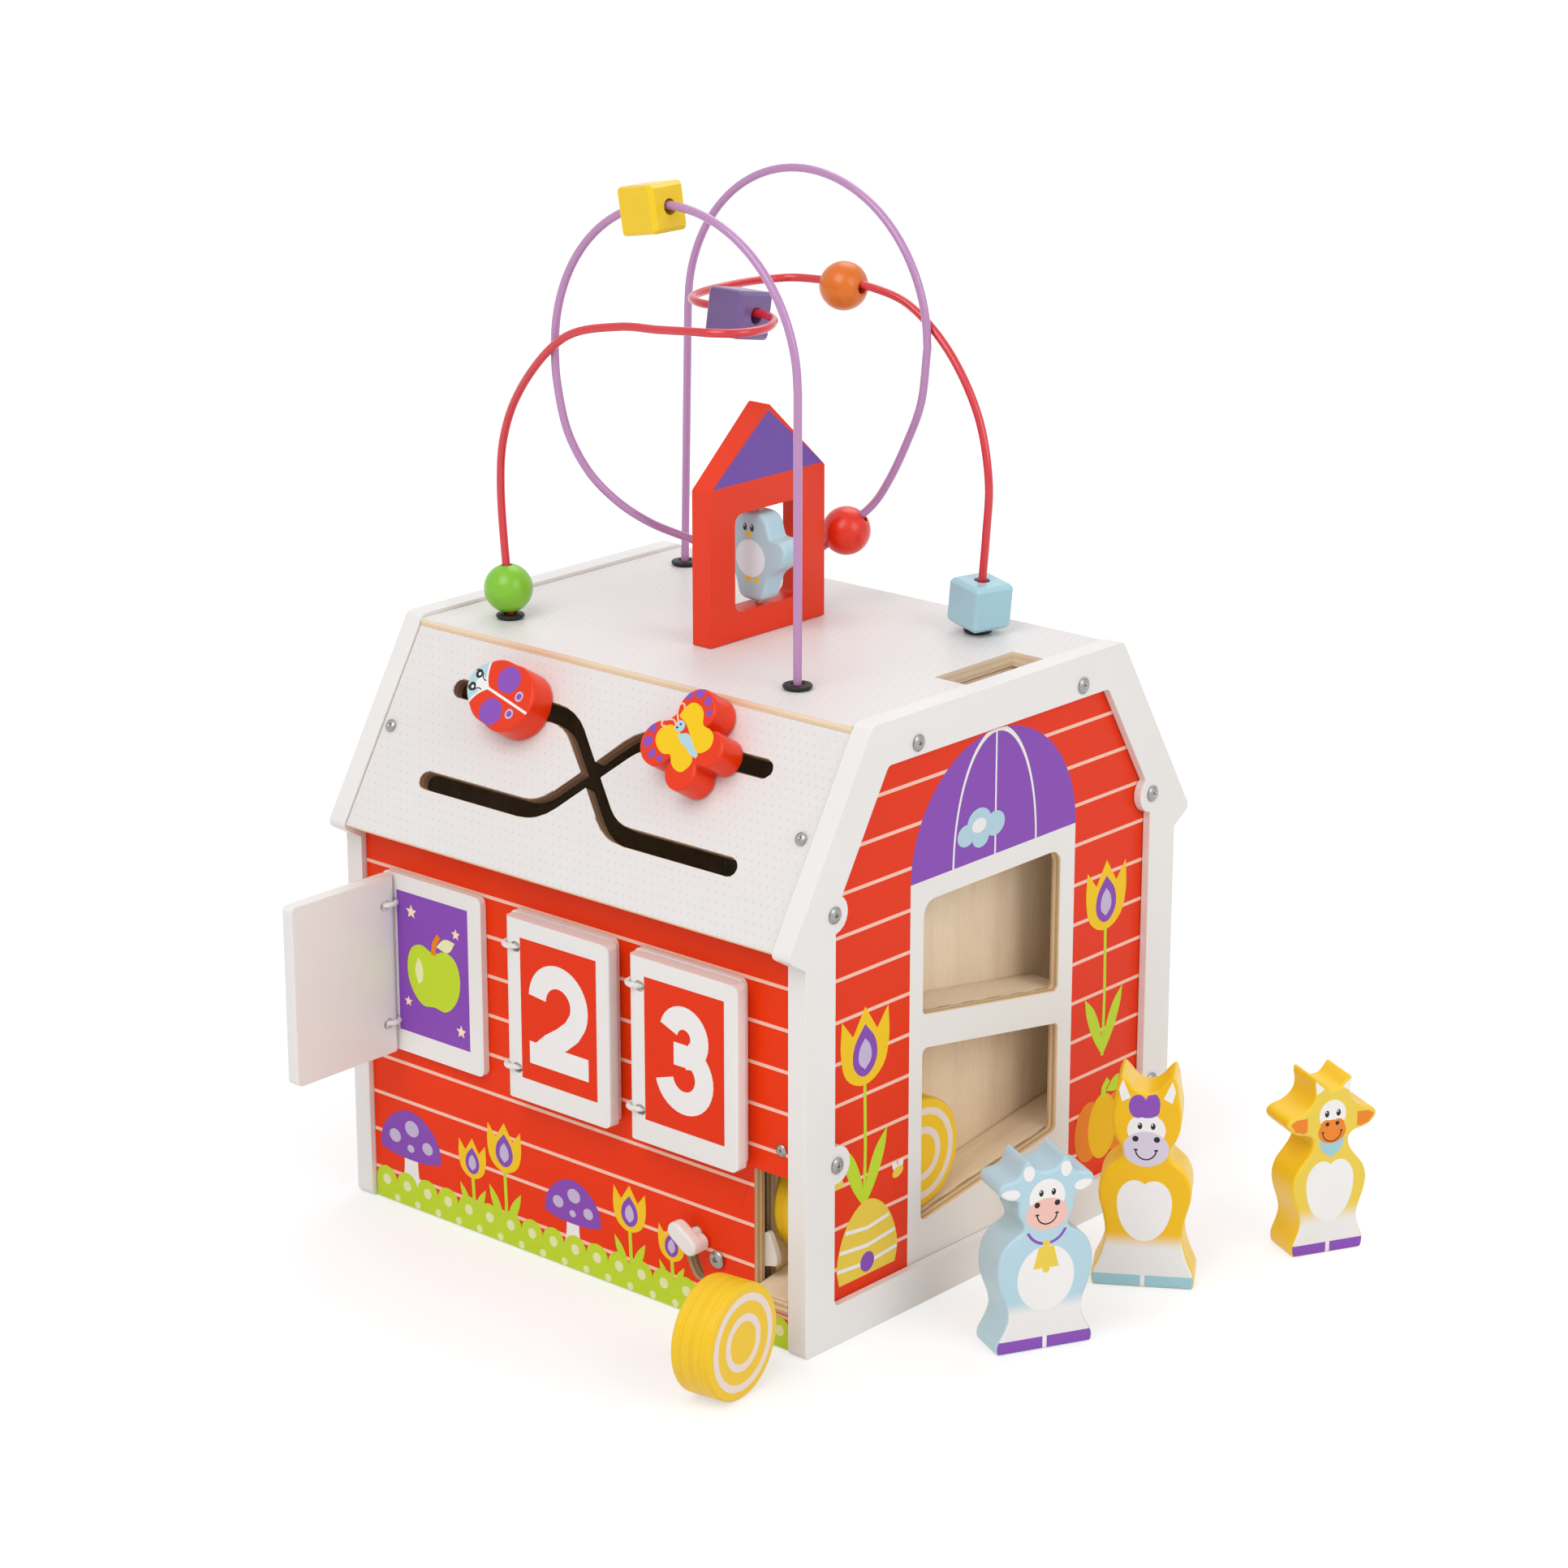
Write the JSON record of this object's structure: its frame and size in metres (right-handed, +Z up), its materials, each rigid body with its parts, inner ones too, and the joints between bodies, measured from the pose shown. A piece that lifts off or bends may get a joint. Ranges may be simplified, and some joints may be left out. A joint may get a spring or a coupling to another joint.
{
  "type": "activity barn toy",
  "caption": "Wooden activity barn with doors, a slotted roof track, a turning bird, bead wires on the roof, and a ramp that rolls wheels past a gate lever.",
  "frame": {"origin": "middle of the barn on the plane it stands on", "axes": "+X towards the gable with the windows, -Y towards the side with the doors, +Z up"},
  "size_m": [0.3579, 0.3136, 0.4398],
  "materials": {
    "gable_frame_right": "painted satin",
    "gable_frame_left": "painted satin",
    "gable_panel_right": "painted satin",
    "gable_panel_left": "painted satin",
    "roof_top_panel": "painted satin",
    "roof_slope_front": "painted satin",
    "roof_slope_rear": "painted satin",
    "side_panel_front": "painted satin",
    "side_panel_rear": "painted satin",
    "base_board": "bare plywood",
    "bay_inner_wall": "bare plywood",
    "upper_ramp": "bare plywood",
    "lower_ramp": "bare plywood",
    "gate_lever": "painted satin",
    "gate_knob": "painted satin",
    "gate_pivot_screw": "satin",
    "gate_pivot_nut": "satin",
    "ladybird": "painted satin",
    "ladybird_stem": "bare wood",
    "butterfly": "painted satin",
    "butterfly_stem": "bare wood",
    "birdhouse": "painted satin",
    "bird": "painted satin",
    "bird_axle": "bare wood",
    "wire_purple": "coated, glossy",
    "wire_red": "coated, glossy",
    "yellow_cube": "painted satin",
    "purple_cube": "painted satin",
    "light_blue_cube": "painted satin",
    "red_ball": "painted satin",
    "orange_ball": "painted satin",
    "green_ball": "painted satin",
    "ramp_wheel_front": "painted satin",
    "ramp_wheel_rear": "painted satin",
    "floor_wheel": "painted satin",
    "cow": "painted satin",
    "horse": "painted satin",
    "goat": "painted satin",
    "grommet_purple_front": "matt",
    "grommet_purple_rear": "matt",
    "grommet_red_front": "matt",
    "grommet_red_rear": "matt",
    "door_plate_1": "painted satin",
    "door_1": "painted satin",
    "door_1_upper_loop": "braided cord",
    "door_1_lower_loop": "braided cord",
    "door_plate_2": "painted satin",
    "door_2": "painted satin",
    "door_2_upper_loop": "braided cord",
    "door_2_lower_loop": "braided cord",
    "door_plate_3": "painted satin",
    "door_3": "painted satin",
    "door_3_upper_loop": "braided cord",
    "door_3_lower_loop": "braided cord"
  },
  "bodies": {
    "barn": {"gable_frame_right": "gable_frame_right", "gable_frame_left": "gable_frame_left", "gable_panel_right": "gable_panel_right", "gable_panel_left": "gable_panel_left", "roof_top_panel": "roof_top_panel", "roof_slope_front": "roof_slope_front", "roof_slope_rear": "roof_slope_rear", "side_panel_front": "side_panel_front", "side_panel_rear": "side_panel_rear", "base_board": "base_board", "bay_inner_wall": "bay_inner_wall", "upper_ramp": "upper_ramp", "lower_ramp": "lower_ramp", "gate_pivot_screw": "gate_pivot_screw", "gate_pivot_nut": "gate_pivot_nut", "birdhouse": "birdhouse", "bird_axle": "bird_axle", "wire_purple": "wire_purple", "wire_red": "wire_red", "grommet_purple_front": "grommet_purple_front", "grommet_purple_rear": "grommet_purple_rear", "grommet_red_front": "grommet_red_front", "grommet_red_rear": "grommet_red_rear", "door_plate_1": "door_plate_1", "door_1_upper_loop": "door_1_upper_loop", "door_1_lower_loop": "door_1_lower_loop", "door_plate_2": "door_plate_2", "door_2_upper_loop": "door_2_upper_loop", "door_2_lower_loop": "door_2_lower_loop", "door_plate_3": "door_plate_3", "door_3_upper_loop": "door_3_upper_loop", "door_3_lower_loop": "door_3_lower_loop"},
    "door_1": {"door_1": "door_1"},
    "door_2": {"door_2": "door_2"},
    "door_3": {"door_3": "door_3"},
    "gate": {"gate_lever": "gate_lever", "gate_knob": "gate_knob"},
    "bird": {"bird": "bird"},
    "ladybird": {"ladybird": "ladybird", "ladybird_stem": "ladybird_stem"},
    "butterfly": {"butterfly": "butterfly", "butterfly_stem": "butterfly_stem"},
    "yellow_cube": {"yellow_cube": "yellow_cube"},
    "purple_cube": {"purple_cube": "purple_cube"},
    "light_blue_cube": {"light_blue_cube": "light_blue_cube"},
    "red_ball": {"red_ball": "red_ball"},
    "orange_ball": {"orange_ball": "orange_ball"},
    "green_ball": {"green_ball": "green_ball"},
    "ramp_wheel_front": {"ramp_wheel_front": "ramp_wheel_front"},
    "ramp_wheel_rear": {"ramp_wheel_rear": "ramp_wheel_rear"},
    "floor_wheel": {"floor_wheel": "floor_wheel"},
    "cow": {"cow": "cow"},
    "horse": {"horse": "horse"},
    "goat": {"goat": "goat"}
  },
  "joints": [
    {"name": "door_1_hinge", "type": "hinge", "parent": "barn", "child": "door_1", "pos_m": [-0.09945, -0.1218, 0.11175], "axis": [0, 0, -1], "range_deg": [-90, 50]},
    {"name": "door_2_hinge", "type": "hinge", "parent": "barn", "child": "door_2", "pos_m": [-0.02465, -0.1218, 0.11175], "axis": [0, 0, -1], "range_deg": [0, 140]},
    {"name": "door_3_hinge", "type": "hinge", "parent": "barn", "child": "door_3", "pos_m": [0.04355, -0.1218, 0.11175], "axis": [0, 0, -1], "range_deg": [0, 140]},
    {"name": "gate_pivot", "type": "hinge", "parent": "barn", "child": "gate", "pos_m": [0.0792, -0.1072, 0.0285], "axis": [0, -1, 0], "range_deg": [0, 75]},
    {"name": "bird_spin", "type": "hinge", "parent": "barn", "child": "bird", "pos_m": [0, -0.001, 0.28], "axis": [0, 0, 1], "continuous": true},
    {"name": "ladybird_slide", "type": "slide", "parent": "barn", "child": "ladybird", "axis": [1, 0, 0], "range_m": [-0.034, 0.02]},
    {"name": "butterfly_slide", "type": "slide", "parent": "barn", "child": "butterfly", "axis": [1, 0, 0], "range_m": [-0.0235, 0.0305]},
    {"name": "yellow_cube_travel", "type": "hinge", "parent": "barn", "child": "yellow_cube", "pos_m": [0.0035, -0.0555, 0.366], "axis": [0, 1, 0], "range_deg": [-60, 60]},
    {"name": "purple_cube_travel", "type": "slide", "parent": "barn", "child": "purple_cube", "axis": [1, 0, 0], "range_m": [-0.007, 0.005]},
    {"name": "orange_ball_travel", "type": "slide", "parent": "barn", "child": "orange_ball", "axis": [1, 0, 0], "range_m": [-0.01, 0.003]},
    {"name": "red_ball_travel", "type": "slide", "parent": "barn", "child": "red_ball", "axis": [0.6617, 0.3691, 0.6526], "range_m": [-0.005, 0.005]},
    {"name": "green_ball_travel", "type": "slide", "parent": "barn", "child": "green_ball", "axis": [-0.0876, 0.0095, 0.9961], "range_m": [0, 0.03]},
    {"name": "light_blue_cube_travel", "type": "slide", "parent": "barn", "child": "light_blue_cube", "axis": [0.1014, -0.0127, 0.9948], "range_m": [0, 0.015]},
    {"name": "ramp_wheel_front_roll", "type": "slide", "parent": "barn", "child": "ramp_wheel_front", "axis": [0, 0.9897, 0.1435], "range_m": [0, 0.115]},
    {"name": "ramp_wheel_rear_roll", "type": "slide", "parent": "barn", "child": "ramp_wheel_rear", "axis": [0, 0.9897, 0.1435], "range_m": [0, 0.115]},
    {"name": "floor_wheel_roll", "type": "slide", "parent": "barn", "child": "floor_wheel", "axis": [0.1253, -0.9921, 0], "range_m": [0, 0.15]},
    {"name": "cow_lift", "type": "slide", "parent": "barn", "child": "cow", "axis": [0, 0, 1], "range_m": [0, 0.1]},
    {"name": "horse_lift", "type": "slide", "parent": "barn", "child": "horse", "axis": [0, 0, 1], "range_m": [0, 0.1]},
    {"name": "goat_lift", "type": "slide", "parent": "barn", "child": "goat", "axis": [0, 0, 1], "range_m": [0, 0.1]}
  ],
  "couplings": [
    {"joint": "ramp_wheel_rear_roll", "follows": "ramp_wheel_front_roll", "ratio": 1}
  ]
}
